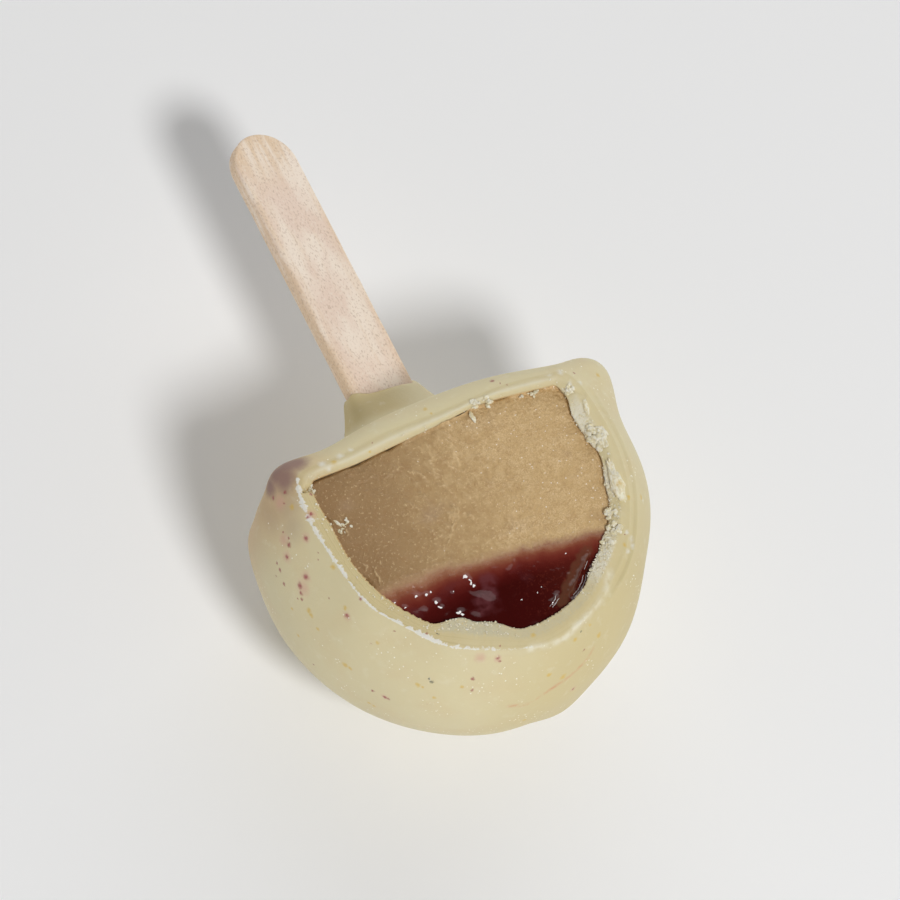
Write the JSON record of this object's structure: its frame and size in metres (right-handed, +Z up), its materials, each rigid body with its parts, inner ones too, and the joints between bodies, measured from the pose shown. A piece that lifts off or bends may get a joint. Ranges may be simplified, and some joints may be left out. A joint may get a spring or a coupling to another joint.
{
  "type": "ice lolly",
  "caption": "Ball-shaped ice lolly on a flat wooden stick: a pale dipped coating, sliced open on caramel ice cream over a dark berry sauce layer.",
  "frame": {"origin": "middle of the small flat spot that the ball rests on, straight under the ball's middle", "axes": "+Z up, square to the sliced face; +Y along the stick to its free end; +X across both"},
  "size_m": [0.0547, 0.0931, 0.0419],
  "materials": {
    "coating": "pale cream-beige dipped coating, satin, with berry and yellow flecks",
    "ice_cream": "caramel ice cream, scraped and grainy",
    "berry_sauce": "very dark red, wet",
    "wood": "bare pale birch, fine speckled grain"
  },
  "bodies": {
    "root": {"coating": "coating", "ice_cream": "ice_cream", "berry_sauce": "berry_sauce", "stick": "wood"}
  },
  "joints": []
}
